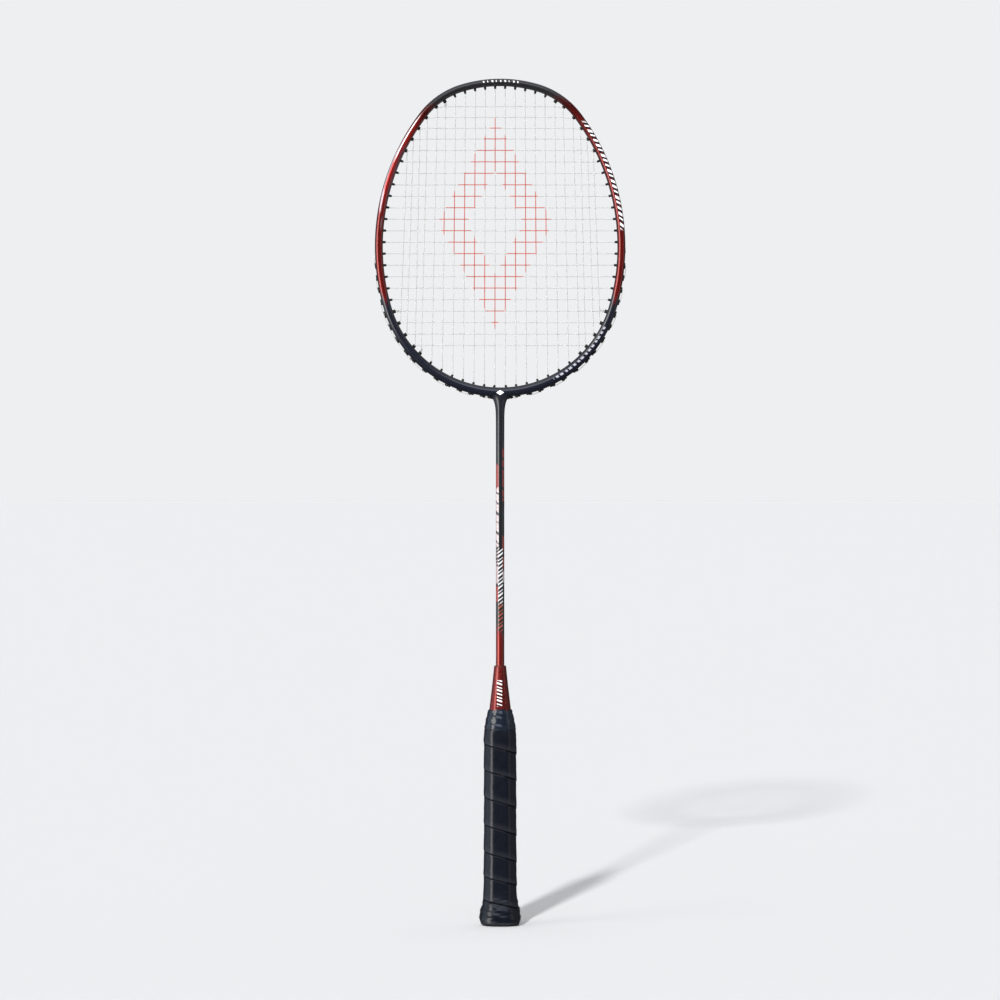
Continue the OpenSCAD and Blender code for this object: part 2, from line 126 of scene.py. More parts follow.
# The hoop's centreline is a chain of tangent arcs, (centre x, centre z, radius, last outward angle from +Z)
TURNS = [(0.28, 0.96), (0.8, 0.6), (0.96, -0.28)]
RADII = [106.0, 62.0, 174.0, 93.5]
HALF_W = 3.0
HALF_DEPTH = 5.2
LENGTH = 675.0
CENTRES = [Vector((0, LENGTH - HALF_W - RADII[0]))]
for turn, r0, r1 in zip(TURNS, RADII, RADII[1:]):
    CENTRES.append(CENTRES[-1] + Vector(turn) * (r0 - r1))
TURN_T = [degrees(atan2(x, z)) for x, z in TURNS]
ARC_LENGTHS = [radians(b - a) * r for a, b, r in zip([0] + TURN_T, TURN_T + [180], RADII)]


def arc_at(t):
    return sum(t >= turn for turn in TURN_T)


def hoop_point(t, off):
    """A point of the right half in mm, [x, z], at normal angle t from +Z and off outside the centreline."""
    arc = arc_at(t)
    return CENTRES[arc] + (RADII[arc] + off) * Vector((sin(radians(t)), cos(radians(t))))


def hoop_along(t):
    """Distance round the hoop from the top, in mm."""
    arc = arc_at(t)
    start = ([0] + TURN_T)[arc]
    return sum(ARC_LENGTHS[:arc]) + radians(t - start) * RADII[arc]


def ease(x):
    x = min(max(x, 0), 1)
    return x * x * (3 - 2 * x)


def tube_half_width(t):
    """Half of the tube's width from the front: slim at the top, sturdier at the throat."""
    return 2.8 + 0.35 * ease((t - 20) / 70) + 0.6 * ease((t - 95) / 75)


def tube_half_depth(t):
    return HALF_DEPTH + 0.25 * ease((t - 150) / 30)


# ---------------------------------------------------------------- string holes, as drilled in the frame

NOSE = 2.3
SHARED_NOSE = 1.5
GROOVE_D = 1.5
FLANGE_T = 0.75
MAIN_PITCH = 7.9
THROAT_PITCH = 8.4
CROSS_PITCH = 9.15
TOP_CROSS_PITCH = 8.6
TOP_CROSS_Z = LENGTH - 22.2
LAST_MAIN, LAST_CROSS, FIRST_SHARED_MAIN, TIE_MAIN_LOW, TIE_CROSS = 10, 21, 6, 7, 3
STRING_R = 0.35
SLANT_ACROSS, SLANT_ALONG = 3.2, 8.2
GROOVE_END_T = 93


def flange_t(t):
    """Flanges stand higher where there is no groove to hide them."""
    return FLANGE_T + 0.3 * ease((t - GROOVE_END_T) / 15)


def groove_share(t):
    """1 where the string groove has its full depth, 0 where there is none."""
    return 1 - ease((t - 90) / 6)


def cross_z(k):
    """Height of cross string k: the top three gaps are narrower."""
    last_even = LAST_CROSS - 3
    if k > last_even:
        return TOP_CROSS_Z - (LAST_CROSS - k) * TOP_CROSS_PITCH
    return TOP_CROSS_Z - 3 * TOP_CROSS_PITCH - (last_even - k) * CROSS_PITCH


def tip_off(t, shared=False):
    """A grommet tip's offset from the centreline: those of shared holes hardly stand out of the wall."""
    nose = SHARED_NOSE if shared else NOSE - 0.5 * ease((t - 95) / 60)
    return -tube_half_width(t) - nose


def hole_t(axis, value, lo, hi, at_wall=False):
    """The normal angle at which a grommet's tip, or the inner wall, has a coordinate's value."""
    rises = axis == 0 and hi <= 90
    for _ in range(40):
        mid = (lo + hi) / 2
        now = hoop_point(mid, -tube_half_width(mid) if at_wall else tip_off(mid))[axis]
        if (now < value) == rises:
            lo = mid
        else:
            hi = mid
    return (lo + hi) / 2


class Hole:
    """One string hole of the right half: where its grommet's tip is, and how it runs to the outside."""

    def __init__(self, t, wide, slanted=False, shared=False):
        self.t, self.wide = t, wide
        tip = tip_off(t, shared)
        self.tip = hoop_point(t, tip)
        self.seat = tube_half_width(t) - GROOVE_D * groove_share(t) - tip
        self.angle = t
        if slanted:
            self.angle = 180 - degrees(atan2(SLANT_ACROSS, SLANT_ALONG))
            self.seat = hypot(SLANT_ACROSS, SLANT_ALONG) + 1.5
        self.axis = Vector((sin(radians(self.angle)), cos(radians(self.angle))))
        self.out = self.tip + self.axis * (self.seat + flange_t(t) + STRING_R)

    def lane(self, y):
        return y if self.wide else 0


top_mains = [Hole(hole_t(0, (i + 0.5) * MAIN_PITCH, 0, 90), i == FIRST_SHARED_MAIN - 1)
             for i in range(FIRST_SHARED_MAIN)]
top_corners = [Hole(hole_t(1, cross_z(LAST_CROSS + FIRST_SHARED_MAIN - i), 0, 90, True), True, shared=True)
               for i in range(FIRST_SHARED_MAIN, LAST_MAIN + 1)]
side_crosses = [Hole(hole_t(1, cross_z(k), 0, 180), k == TIE_CROSS)
                for k in range(TIE_CROSS, LAST_CROSS - 4)]
low_corners = [Hole(hole_t(1, cross_z(k), 90, 180), True) for k in range(TIE_CROSS)]
low_mains = [Hole(hole_t(0, (i + 0.5) * THROAT_PITCH, 90, 180), i == TIE_MAIN_LOW, i == 0)
             for i in range(TIE_MAIN_LOW + 1)]
main_tops = top_mains + top_corners
main_lows = low_mains + low_corners
cross_holes = low_corners + side_crosses + top_corners[::-1]
grommet_groups = {
    "top_main_grommets": top_mains[:-1], "top_corner_grommets": top_corners,
    "side_cross_grommets": side_crosses[1:], "low_corner_grommets": low_corners,
    "throat_main_grommets": low_mains[:-1],
    "tie_off_grommets": [top_mains[-1], side_crosses[0], low_mains[-1]],
}


# ---------------------------------------------------------------- hoop

GROOVE_SECTION = [(1.5, 0), (1.5, 0.8), (1.55, 1.4), (1.8, 1.72), (2.5, 1.85), (2.85, 1.98), (2.98, 2.3)]


def tube_section():
    """Half of the tube's section, [off, y] from the groove's middle round to the inner wall's middle."""
    flat = 2.2
    arc = [(HALF_W * cos(radians(a)), flat + HALF_W * sin(radians(a))) for a in range(8, 181, 11)]
    return GROOVE_SECTION + arc + [(-HALF_W, flat), (-HALF_W, 1.1), (-HALF_W, 0)]


def section_at(x, z):
    """Normal angle and offset of a point against the hoop's centreline, in mm."""
    x = abs(x)
    for arc, (centre, radius) in enumerate(zip(CENTRES, RADII)):
        reach = Vector((x, z)) - centre
        t = degrees(atan2(reach.x, reach.y)) % 360
        if arc == 3 or t < TURN_T[arc]:
            return t, reach.length - radius


def make_hoop():
    """The section is spun through each arc in turn for the right half, mirrored, then tapered."""
    half = tube_section()
    ring = half + [(off, -y) for off, y in half[-2:0:-1]]
    deselect_all()
    bpy.ops.mesh.primitive_circle_add(vertices=len(ring), radius=0.005, fill_type="NOTHING")
    hoop = named("hoop")
    for vertex, (off, y) in zip(hoop.data.vertices, ring):
        vertex.co = (0, y * MM, (LENGTH - HALF_W + off) * MM)
    edit_all()
    angles = [a - b for a, b in zip(TURN_T + [180], [0] + TURN_T)]
    for centre, angle, steps in zip(CENTRES, angles, (14, 26, 74, 58)):
        pivot = (centre.x * MM, 0, centre.y * MM)
        bpy.ops.mesh.spin(steps=steps, angle=-radians(angle), center=pivot, axis=(0, 1, 0))
    bpy.ops.object.mode_set(mode="OBJECT")
    mirror = hoop.modifiers.new("other half", "MIRROR")
    mirror.merge_threshold = 2e-5
    apply_modifiers(hoop)
    alongs, acrosses = [], []
    for vertex in hoop.data.vertices:
        x, y, z = vertex.co / MM
        t, off = section_at(x, z)
        t = min(t, 180)
        plain = off / HALF_W
        if abs(y) < 2.4 and off > 1.2:
            plain = 1 + (plain - 1) * groove_share(t)
        off_now = plain * tube_half_width(t)
        spot = hoop_point(t, off_now)
        side = 1 if x >= 0 else -1
        vertex.co = Vector((side * spot.x, y * tube_half_depth(t) / HALF_DEPTH, spot.y)) * MM
        alongs.append(side * hoop_along(t) * MM)
        acrosses.append(plain)
    add_attribute(hoop, "along", alongs)
    add_attribute(hoop, "across", acrosses)
    merge_and_face_out(hoop)
    smooth(hoop, 50)
    return hoop


# ---------------------------------------------------------------- turned and lofted pieces

def extrude(rise):
    bpy.ops.mesh.extrude_region_move(TRANSFORM_OT_translate={"value": (0, 0, rise * MM)})


def widen(x, y, z):
    """Scales the ring just extruded, about the axis at height z in mm."""
    bpy.ops.transform.resize(value=(x, y, 1), center_override=(0, 0, z * MM))


def tower(name, sides, levels):
    """A round bar drawn up from a disc, extruded and resized to each level (z, radius) in mm."""
    deselect_all()
    z, radius = levels[0]
    bpy.ops.mesh.primitive_circle_add(vertices=sides, radius=radius * MM, fill_type="NGON",
                                      location=(0, 0, z * MM))
    piece = named(name)
    apply_transform(piece)
    edit_all()
    for next_z, next_radius in levels[1:]:
        extrude(next_z - z)
        if abs(next_radius - radius) > 1e-6:
            grow = next_radius / radius
            widen(grow, grow, next_z)
        z, radius = next_z, next_radius
    bpy.ops.object.mode_set(mode="OBJECT")
    merge_and_face_out(piece)
    return piece


def reshape(piece, rule):
    """Moves each point: rule(radius, angle, z) gives its new radius in mm, or its new radius and z.

    Angle 0 is the front.
    """
    for vertex in piece.data.vertices:
        x, y, z = vertex.co / MM
        radius, angle = hypot(x, y), atan2(x, -y)
        if radius > 1e-6:
            new = rule(radius, angle, z)
            new_radius, new_z = new if isinstance(new, tuple) else (new, z)
            vertex.co = Vector((new_radius * sin(angle), -new_radius * cos(angle), new_z)) * MM
    piece.data.update()


def between(table, z):
    """Straight-line reading of a table of (z, value) rows."""
    if z <= table[0][0]:
        return table[0][1]
    for (z0, a), (z1, b) in zip(table, table[1:]):
        if z <= z1:
            return a + (b - a) * (z - z0) / (z1 - z0)
    return table[-1][1]


def octagon_radius(width, depth, angle, sharpness=26):
    """How far a round-cornered octagon reaches at an angle from the front."""
    bevel = 0.5 * (width + depth) * 0.5 * 1.055
    flats = [(0, depth / 2), (45, bevel), (90, width / 2), (135, bevel), (180, depth / 2),
             (-45, bevel), (-90, width / 2), (-135, bevel)]
    total = 0
    for facing, reach in flats:
        share = cos(angle - radians(facing)) / reach
        if share > 0:
            total += share ** sharpness
    return total ** (-1 / sharpness)


THROAT_LEVELS = [
    (386.5, 3.37), (387, 3.39), (396, 3.40), (403, 3.42), (406, 3.46), (408.5, 3.54), (411, 3.70),
    (413, 3.92), (415, 4.26), (416.5, 4.62), (418, 5.15), (419.2, 5.8), (420.1, 6.45), (420.9, 7.2),
    (421.6, 8.1), (422.3, 9.3), (423, 10.6), (423.6, 11.6), (424.4, 12.0),
]


def make_throat():
    throat = tower("throat", 56, THROAT_LEVELS)
    for vertex in throat.data.vertices:
        _, y, z = vertex.co / MM
        widest = between(THROAT_LEVELS, z)
        deep = 3.4 + 1.95 * ease((z - 392) / 30)
        vertex.co.y = y / widest * deep * MM
    throat.data.update()
    smooth(throat, 60)
    return throat


SHAFT_R = 3.35


def make_shaft():
    shaft = tower("shaft_tube", 48, [(z, SHAFT_R) for z in (168, *range(172, 392, 8), 414)])
    smooth(shaft, 60)
    return shaft


CONE_TOP = 207
CONE_WIDTHS = [(160, 20.3), (172, 17.3), (190.8, 12.8), (205.6, 9.7), (206.3, 9.5), (206.8, 9.1),
               (CONE_TOP, 8.7)]


def make_cone():
    zs = [164, 170] + [172 + 33.6 * i / 16 for i in range(17)] + [206.3, 206.8, CONE_TOP]
    outside = [(z, between(CONE_WIDTHS, z) / 2) for z in zs]
    cone = tower("cone_cover", 96, outside + [(CONE_TOP, 3.7), (206.4, 3.6)])

    def rule(radius, angle, z):
        width = between(CONE_WIDTHS, z)
        if radius < width / 2 - 0.5:
            return radius
        facet = octagon_radius(width, width - 1.2 * (CONE_TOP - z) / 35, angle, 13)
        rounding = ease((z - 176) / 26)
        return facet * (1 - rounding) + width / 2 * rounding

    reshape(cone, rule)
    smooth(cone, 50)
    return cone


# ---------------------------------------------------------------- handle

HANDLE_WIDTHS = [
    (0, 30.2), (1, 31.7), (2, 32.2), (3.4, 32.5), (7.6, 32.8), (10, 32.4), (12, 31.7), (15, 29.6),
    (17.5, 28.4), (20, 27.6), (24, 26.7), (28, 26.3), (36, 26.3), (52, 26.1), (75, 25.8), (140, 25.8),
    (148, 25.9), (152, 25.6), (156, 24.9), (160, 23.5), (164, 22.0), (167, 20.7), (169, 19.7),
    (171, 18.5), (172.5, 17.8), (176, 17.4),
]
DEPTH_LESS = 2.2
SEAM_HEIGHTS = [177.5, 156, 135.9, 114.8, 92.7, 71.0, 49.8, 31.1, 12.9, -5, -24]
TURN = 21.0
GRIP_TURNS = 10
GRIP_BOTTOM, GRIP_TOP = 0.0030, 0.1718
FILM_BOTTOM, FILM_TOP = 156.6, 172.4


def handle_radius(angle, z, grow=0):
    """The handle's octagon, which softens towards the butt and becomes an oval under the finishing tape."""
    width = between(HANDLE_WIDTHS, z) + 2 * grow
    depth = width - DEPTH_LESS * min(1, (CONE_TOP - z) / 49)
    octagon = octagon_radius(width, depth, angle, 10 + 7 * ease((z - 4) / 16))
    oval = 1.02 / hypot(2 * sin(angle) / width, 2 * cos(angle) / depth)
    rounding = ease((z - 152) / 9)
    return octagon * (1 - rounding) + oval * rounding


def wound_z(z):
    """An even winding becomes the hand-laid one: turn heights as they were wound."""
    turns = (SEAM_HEIGHTS[0] - z) / TURN
    row = min(max(int(turns), 0), len(SEAM_HEIGHTS) - 2)
    share = turns - row
    return SEAM_HEIGHTS[row] + (SEAM_HEIGHTS[row + 1] - SEAM_HEIGHTS[row]) * share


# The tape across its width, [height over its lower edge, lift off the handle's nominal surface]
TAPE_LOWER_EDGE = [(0.03, -1.45), (0.05, -0.62), (0.12, -0.16), (0.3, 0.08), (0.6, 0.21), (1.1, 0.27)]
TAPE_MIDDLE = [(2, 0.27), (5, 0.19), (9, 0.08), (13, 0.0), (17, -0.05), (19, -0.07)]
TAPE_UPPER_EDGE = [(19.6, -0.09), (20.2, -0.12), (20.6, -0.24), (20.85, -0.46), (20.95, -0.7),
                   (20.97, -1.45)]
TAPE_FACE = TAPE_LOWER_EDGE + [(up, between(TAPE_MIDDLE, up)) for up in range(2, 20)] + TAPE_UPPER_EDGE


def make_grip():
    """The tape's section is screwed down the handle, pressed onto the octagon and trimmed at both ends."""
    deselect_all()
    bpy.ops.mesh.primitive_circle_add(vertices=len(TAPE_FACE), radius=0.01, fill_type="NOTHING")
    grip = named("grip_tape")
    start = SEAM_HEIGHTS[0]
    base = 12.0
    for vertex, (up, lift) in zip(grip.data.vertices, TAPE_FACE):
        vertex.co = ((base + lift) * MM, 0, (start + up) * MM)
    screw = grip.modifiers.new("winding", "SCREW")
    screw.axis, screw.angle, screw.screw_offset, screw.iterations = "Z", 2 * pi, -TURN * MM, GRIP_TURNS
    screw.steps = screw.render_steps = 120
    screw.use_merge_vertices = False
    apply_modifiers(grip)
    lifts = []

    def rule(radius, angle, z):
        lift = radius - base
        lifts.append(lift)
        z = wound_z(z)
        soft = (0.05 * sin(7 * angle + 0.31 * z) * sin(0.9 * z + 2 * angle)
                + 0.04 * sin(3 * angle - 0.47 * z))
        low = ease((25 - z) / 8)
        broad = 0.26 * sin(0.95 * z + 1.6 * sin(angle * 2 + 1) + 2 * angle)
        pleat = low * (broad + 0.13 * sin(2.1 * z - 5 * angle))
        edge = 1 if lift > -1 else 0
        under_tape = 0.42 * ease((z - 156) / 3)
        return handle_radius(angle, z, lift + edge * (soft + pleat) - under_tape), z

    reshape(grip, rule)
    add_attribute(grip, "lift", lifts)
    activate(grip)
    edit_all()
    bpy.ops.mesh.remove_doubles(threshold=1e-7)
    bpy.ops.mesh.select_all(action="SELECT")
    bpy.ops.mesh.bisect(plane_co=(0, 0, GRIP_TOP), plane_no=(0, 0, 1), use_fill=True, clear_outer=True)
    bpy.ops.mesh.select_all(action="SELECT")
    bpy.ops.mesh.bisect(plane_co=(0, 0, GRIP_BOTTOM), plane_no=(0, 0, -1), use_fill=True, clear_outer=True)
    bpy.ops.mesh.select_all(action="SELECT")
    bpy.ops.mesh.normals_make_consistent(inside=False)
    bpy.ops.object.mode_set(mode="OBJECT")
    grip.data.validate()
    smooth(grip, 55)
    return grip


def make_finishing_tape():
    zs = [FILM_BOTTOM, 156.9] + [157.2 + 0.5 * i for i in range(29)] + [171.7, 172.1, FILM_TOP]
    levels = [(z, 12) for z in zs]
    tape = tower("finishing_tape", 112, levels + [(FILM_TOP, 8.7), (170, 8.7)])

    def rule(radius, angle, z):
        if radius < 11:
            return radius
        lip = -0.28 if z < 156.7 else -0.1 if z < 157 else 0
        top = -0.35 * ease((z - 171) / 1.4)
        fold = 0.15 * sin(1.05 * (z - 157) + 0.9 * sin(2 * angle + 0.4) + 0.7 * sin(3 * angle))
        crease = 0.09 * sin(1.9 * z + 2.5 * sin(angle + 0.8) + angle)
        gather = 0.05 * sin(11 * angle + 1.3 * sin(0.8 * z))
        fade = min(1, (z - FILM_BOTTOM) / 1.5)
        return handle_radius(angle, z, 0.12 + lip + top + fade * (fold + crease + gather))

    reshape(tape, rule)
    smooth(tape, 60)
    return tape


def make_butt_cap():
    levels = [(0.35, 8.1), (0.35, 8.4), (0.0, 8.7), (0.0, 13.2), (0.1, 13.9), (0.35, 14.6), (0.75, 15.1),
              (1.3, 15.55), (2.0, 15.85), (2.8, 16.0), (3.3, 15.9), (3.35, 15.1), (6, 15.0)]
    cap = tower("butt_cap_rim", 96, levels)

    def rule(radius, angle, z):
        if radius < 9:
            return radius
        share = (radius - 9) / 7.2
        wall = handle_radius(angle, 2.2)
        return radius + (wall / 16.3 - 1) * radius * min(1, share * 1.6)

    reshape(cap, rule)
    smooth(cap, 40)
    return cap


def make_badge():
    levels = [(0.9, 8.0), (0.36, 8.25), (0.22, 8.15), (0.18, 7.6), (0.3, 7.3), (0.3, 3.0), (0.2, 2.8),
              (0.2, 0.6)]
    badge = tower("badge_disc", 64, levels)
    smooth(badge, 40)
    return badge


# ---------------------------------------------------------------- grommets

def make_grommet(wide):
    """A grommet on its own axis: the nose's tip at 0, the flange outwards at the seat."""
    barrel = 1.42 if wide else 0.92
    bore = 0.75 if wide else 0.42
    bore_depth = 0.7
    deselect_all()
    bpy.ops.mesh.primitive_circle_add(vertices=12, radius=bore * MM, fill_type="NGON",
                                      location=(0, 0, bore_depth * MM))
    grommet = named("grommet_pattern")
    apply_transform(grommet)
    edit_all()
    steps = [(-0.6, bore), (-0.1, bore + 0.08), (0, barrel - 0.22), (0.22, barrel - 0.04), (0.5, barrel),
             (1.6, barrel + 0.14), (2.4, barrel + 0.22), (0, barrel + 0.22), (2.4, barrel), (0.2, 1.5)]
    z, radius = bore_depth, bore
    for climb, next_radius in steps:
        extrude(climb)
        grow = next_radius / radius
        z, radius = z + climb, next_radius
        widen(grow, grow, z)
    for climb, grow in ((0, 1.25), (FLANGE_T * 0.6, 1.0), (FLANGE_T * 0.4, 0.82)):
        extrude(climb)
        z += climb
        widen(grow * (1.15 if climb == 0 and wide else 1), grow, z)
    bpy.ops.object.mode_set(mode="OBJECT")
    merge_and_face_out(grommet)
    return grommet, z - FLANGE_T


def grommets(name, holes, patterns):
    """Copies of the pattern, one in each hole and its twin on the left, joined as one piece."""
    copies = []
    for hole in holes:
        pattern, seat = patterns[hole.wide]
        for side in (1, -1):
            copy = pattern.copy()
            copy.data = pattern.data.copy()
            bpy.context.collection.objects.link(copy)
            for vertex in copy.data.vertices:
                x, y, z = vertex.co / MM
                long = 1.3 if hole.t > 90 and z > 5 else 1
                if z > 5:
                    z = hole.seat + (z - seat) * flange_t(hole.t) / FLANGE_T
                spot = hole.tip + hole.axis * z + Vector((hole.axis.y, -hole.axis.x)) * x * long
                vertex.co = Vector((side * spot.x, y, spot.y)) * MM
            copy.data.update()
            copies.append(copy)
    piece = join(copies, name)
    merge_and_face_out(piece, 1e-8)
    smooth(piece, 40)
    return piece


# ---------------------------------------------------------------- strings

LANE_Y = 0.38
RUN_Y = 0.42
CROSS_WAVE = 0.58
MAIN_WAVE = 0.14
KNOT_STRING_R = 0.33
STEPS_PER_HITCH = 18


def spot_3d(point, side, y):
    return Vector((side * point.x, y, point.y))


def run_between(a, b, side, y):
    """Out through one hole, along the outside of the hoop and in through the next."""
    def turn(hole, towards):
        tangent = Vector((hole.axis.y, -hole.axis.x)) * (1 if towards > hole.t else -1)
        run_y = RUN_Y if y > 0 else -RUN_Y
        lane = hole.lane(y)
        return [spot_3d(hole.tip, side, lane), spot_3d(hole.out - hole.axis * 0.7, side, lane),
                spot_3d(hole.out - hole.axis * 0.15 + tangent * 0.2, side, lane),
                spot_3d(hole.out + tangent * 0.75, side, (lane + run_y) / 2),
                spot_3d(hole.out + tangent * 2.3, side, run_y)]
    first, last = turn(a, b.t), turn(b, a.t)
    bend = []
    if (a.t - GROOVE_END_T) * (b.t - GROOVE_END_T) < 0:
        ramp = hoop_point(GROOVE_END_T, tube_half_width(GROOVE_END_T) + 0.45)
        bend = [spot_3d(ramp, side, RUN_Y if y > 0 else -RUN_Y)]
    return first + bend + last[::-1]


def main_line(i, z):
    """x and resting y of main string i at height z."""
    a, b = main_lows[i], main_tops[i]
    share = (z - a.tip.y) / (b.tip.y - a.tip.y)
    return (a.tip.x + (b.tip.x - a.tip.x) * share, a.lane(LANE_Y) * (1 - share) + b.lane(LANE_Y) * share)


def over(n, k):
    """Which side of main string n (counted from the left) cross string k passes: 1 behind, -1 in front."""
    return 1 if (n + k) % 2 == 0 else -1


def main_run(i, side, upward):
    """The points of one main string between its tips, waved slightly by the crosses."""
    n = LAST_MAIN + 1 + i if side > 0 else LAST_MAIN - i
    points = []
    for k in range(LAST_CROSS + 1):
        z = cross_z(k)
        if main_lows[i].tip.y + 1 < z < main_tops[i].tip.y - 1:
            x, y = main_line(i, z)
            points.append(Vector((side * x, y - over(n, k) * MAIN_WAVE, z)))
    return points if upward else points[::-1]


def soften(points):
    """A smooth weave: the middle of each stretch is added, and the peaks are held for a little way."""
    smooth_points = [points[0]]
    for p, q in zip(points, points[1:]):
        smooth_points += [p.lerp(q, 0.14) + Vector((0, (p.y - q.y) * 0.1, 0)), p.lerp(q, 0.5),
                          p.lerp(q, 0.86) + Vector((0, (q.y - p.y) * 0.1, 0)), q]
    return smooth_points


def main_half(side):
    points = []
    for i in range(LAST_MAIN + 1):
        upward = i % 2 == 1
        here = main_tops[i] if upward else main_lows[i]
        points += soften(main_run(i, side, upward))
        if i < LAST_MAIN:
            following = main_tops[i + 1] if upward else main_lows[i + 1]
            points += run_between(here, following, side, LANE_Y)
        else:
            points += run_between(here, side_crosses[0], side, LANE_Y)
    return points


def main_path():
    start = {}
    for side in (1, -1):
        start[side] = run_between(main_tops[0], main_tops[0], side, LANE_Y)[:3][::-1]
    middle = [Vector((0, RUN_Y, LENGTH - HALF_W + tube_half_width(0) - GROOVE_D + FLANGE_T + STRING_R))]
    return main_half(-1)[::-1] + start[-1][::-1] + middle + start[1] + main_half(1)


def cross_run(k, rightward):
    points = []
    z = cross_z(k)
    for n in range(2 * LAST_MAIN + 2):
        side, i = (1, n - LAST_MAIN - 1) if n > LAST_MAIN else (-1, LAST_MAIN - n)
        if main_lows[i].tip.y + 1 < z < main_tops[i].tip.y - 1:
            x, y = main_line(i, z)
            points.append(Vector((side * x, y + over(n, k) * CROSS_WAVE, z)))
    return points if rightward else points[::-1]


def cross_path():
    points = run_between(low_mains[TIE_MAIN_LOW], cross_holes[0], -1, -LANE_Y)
    for k in range(LAST_CROSS + 1):
        rightward = k % 2 == 0
        points += soften(cross_run(k, rightward))
        if k < LAST_CROSS:
            points += run_between(cross_holes[k], cross_holes[k + 1], 1 if rightward else -1, -LANE_Y)
    side = 1 if LAST_CROSS % 2 == 0 else -1
    return points + run_between(cross_holes[LAST_CROSS], top_mains[-1], side, -LANE_Y)


def string_piece(name, paths, radius=STRING_R):
    """Round string along each path of points in mm, made a mesh."""
    pieces = []
    for points in paths:
        deselect_all()
        curve = bpy.data.curves.new(name, "CURVE")
        curve.dimensions = "3D"
        spline = curve.splines.new("POLY")
        spline.points.add(len(points) - 1)
        for knot, point in zip(spline.points, points):
            knot.co = (*(point * MM), 1)
        curve.bevel_depth = radius * MM
        curve.bevel_resolution = 2
        curve.use_fill_caps = True
        activate(add_object(name, curve))
        bpy.ops.object.convert(target="MESH")
        pieces.append(bpy.context.object)
    piece = join(pieces, name)
    merge_and_face_out(piece)
    smooth(piece, 70)
    return piece


def knot_path(start, towards):
    """Two and a half hitches round a string that runs from start towards a point, and the cut tail."""
    u = (towards - start).normalized()
    side_way = u.cross(Vector((0, 1, 0))).normalized()
    front = side_way.cross(u)
    points = []
    for step in range(46):
        turn = 2 * pi * step / STEPS_PER_HITCH
        radius = 0.74 + 0.05 * sin(2.3 * turn)
        along = 0.75 + 0.62 * step / STEPS_PER_HITCH
        points.append(start + u * along + (side_way * cos(turn) + front * sin(turn)) * radius)
    last = points[-1]
    leave = (points[-1] - points[-2]).normalized()
    return points + [last + leave * 0.8 + u * 0.2, last + leave * 1.7 + u * 0.7]


def cross_first_point(k, side):
    run = cross_run(k, True)
    return run[-1] if side > 0 else run[0]


def main_knots():
    tie = side_crosses[0]
    return [knot_path(spot_3d(tie.tip, side, -LANE_Y), cross_first_point(TIE_CROSS, side))
            for side in (1, -1)]


def cross_knots():
    low, top = low_mains[TIE_MAIN_LOW], top_mains[-1]
    return [knot_path(spot_3d(low.tip, -1, LANE_Y), main_run(TIE_MAIN_LOW, -1, True)[0]),
            knot_path(spot_3d(top.tip, -1, LANE_Y), main_run(FIRST_SHARED_MAIN - 1, -1, False)[0])]


# ---------------------------------------------------------------- shader helpers

def tree_of(*values):
    """The node tree that the sockets among the values belong to."""
    return next(value.id_data for value in values if isinstance(value, bpy.types.NodeSocket))


def wire(source, socket):
    if isinstance(source, bpy.types.NodeSocket):
        socket.id_data.links.new(source, socket)
    else:
        socket.default_value = source


def math(operation, *values):
    node = tree_of(*values).nodes.new("ShaderNodeMath")
    node.operation = operation
    for value, socket in zip(values, node.inputs):
        wire(value, socket)
    return node.outputs[0]


def scaled(value, by, plus):
    return math("MULTIPLY_ADD", value, by, plus)


def gap(a, b):
    """How far two values are apart."""
    return math("ABSOLUTE", math("SUBTRACT", a, b))


def total(*values):
    return reduce(lambda result, value: math("ADD", result, value), values)


def product(*values):
    return reduce(lambda result, value: math("MULTIPLY", result, value), values)


def mix(factor, a, b):
    node = tree_of(factor, a, b).nodes.new("ShaderNodeMix")
    node.data_type = "RGBA"
    wire(factor, node.inputs["Factor"])
    wire((*a, 1) if isinstance(a, tuple) else a, node.inputs["A"])
    wire((*b, 1) if isinstance(b, tuple) else b, node.inputs["B"])
    return node.outputs["Result"]


def rise(value, low, high):
    """0 below low, 1 above high, smooth between; low may be the greater."""
    node = tree_of(value).nodes.new("ShaderNodeMapRange")
    node.interpolation_type = "SMOOTHSTEP"
    wire(value, node.inputs["Value"])
    flip = low > high
    ends = (high, low, 1, 0) if flip else (low, high, 0, 1)
    for end, figure in zip(("From Min", "From Max", "To Min", "To Max"), ends):
        node.inputs[end].default_value = figure
    return node.outputs["Result"]


def span(value, low, high, soft):
    """1 between low and high, 0 outside, with soft edges."""
    return product(rise(value, low - soft, low + soft), rise(value, high + soft, high - soft))


def noise(vector, scale, detail=3.0, roughness=0.55, stretch=None):
    tree = vector.id_data
    node = tree.nodes.new("ShaderNodeTexNoise")
    node.inputs["Scale"].default_value = scale
    node.inputs["Detail"].default_value = detail
    node.inputs["Roughness"].default_value = roughness
    if stretch:
        mapping = tree.nodes.new("ShaderNodeMapping")
        mapping.inputs["Scale"].default_value = stretch
        tree.links.new(vector, mapping.inputs["Vector"])
        vector = mapping.outputs[0]
    tree.links.new(vector, node.inputs["Vector"])
    return node.outputs["Fac"]


def object_point(tree):
    return tree.nodes.new("ShaderNodeTexCoord").outputs["Object"]


def split(vector):
    node = tree_of(vector).nodes.new("ShaderNodeSeparateXYZ")
    wire(vector, node.inputs[0])
    return node.outputs


def attribute(tree, name):
    node = tree.nodes.new("ShaderNodeAttribute")
    node.attribute_name = name
    return node.outputs["Fac"]


